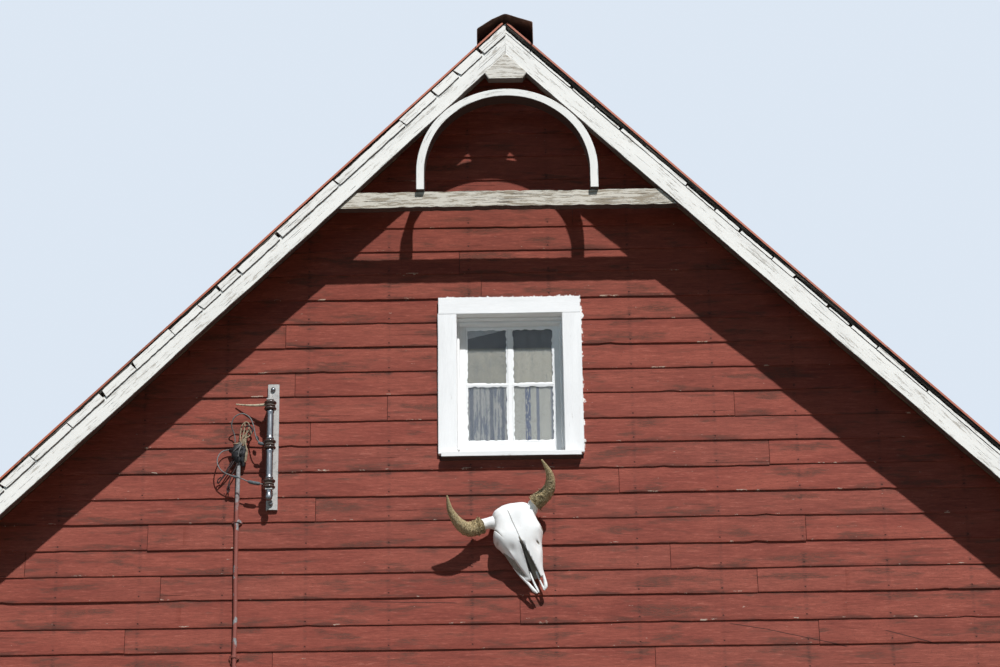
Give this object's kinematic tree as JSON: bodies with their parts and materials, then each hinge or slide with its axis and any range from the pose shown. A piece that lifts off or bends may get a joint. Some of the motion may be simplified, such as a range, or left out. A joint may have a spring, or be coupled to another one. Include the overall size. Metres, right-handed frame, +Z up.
{
  "type": "two-storey timber farmhouse",
  "caption": "Weathered red-sided farmhouse with a steep metal roof, a white arch in its gable, an attic window, a hung skull and a service rack.",
  "frame": {"origin": "ground level under the middle of the house", "axes": "+Z up, -Y out of the front gable, +X to the right as seen from the front"},
  "size_m": [7.5614, 10.72, 9.0367],
  "materials": {
    "red_siding": "worn red paint on boards",
    "white_trim": "weathered white paint",
    "bare_timber": "sawn, unpainted",
    "field_stone": "rough",
    "step_stone": "rough dressed",
    "old_shingles": "ragged and black with age",
    "roof_metal": "faded red paint",
    "cap_metal": "rusted brown",
    "window_glass": "old float glass",
    "cloth": "plain weave",
    "bone": "bleached bone",
    "galvanised": "dull zinc",
    "glazed_brown": "glazed",
    "cable_jacket": "painted over and weathered"
  },
  "bodies": {
    "root": {"attic_floor": "bare_timber", "attic_window_casing": "white_trim", "attic_window_curtain": "cloth", "attic_window_frame": "white_trim", "attic_window_glass": "window_glass", "attic_window_sash": "white_trim", "back_barge_boards": "white_trim", "back_casings": "white_trim", "back_door": "white_trim", "back_rake_strips": "white_trim", "back_sashes": "white_trim", "back_steps": "step_stone", "back_wall": "red_siding", "back_window_glass": "window_glass", "corner_boards": "white_trim", "eaves_blocking": "white_trim", "eaves_fascias": "white_trim", "foundation": "field_stone", "front_barge_boards": "white_trim", "front_casings": "white_trim", "front_door": "white_trim", "front_rake_strips": "white_trim", "front_sashes": "white_trim", "front_steps": "step_stone", "front_wall": "red_siding", "front_window_glass": "window_glass", "gable_arch": "white_trim", "gable_beam": "white_trim", "ground_floor": "bare_timber", "left_casings": "white_trim", "left_old_shingles": "old_shingles", "left_rafters": "bare_timber", "left_roof_deck": "bare_timber", "left_roof_sheets": "roof_metal", "left_sashes": "white_trim", "left_wall": "red_siding", "left_window_glass": "window_glass", "lower_service_wire": "cable_jacket", "peak_block": "white_trim", "rack_insulators": "glazed_brown", "ridge_board": "bare_timber", "ridge_cap": "cap_metal", "right_casings": "white_trim", "right_old_shingles": "old_shingles", "right_rafters": "bare_timber", "right_roof_deck": "bare_timber", "right_roof_sheets": "roof_metal", "right_sashes": "white_trim", "right_wall": "red_siding", "right_window_glass": "window_glass", "service_cable": "cable_jacket", "service_head": "galvanised", "service_rack": "galvanised", "skull": "bone", "upper_floor": "bare_timber", "upper_service_wire": "cable_jacket"}
  },
  "joints": []
}
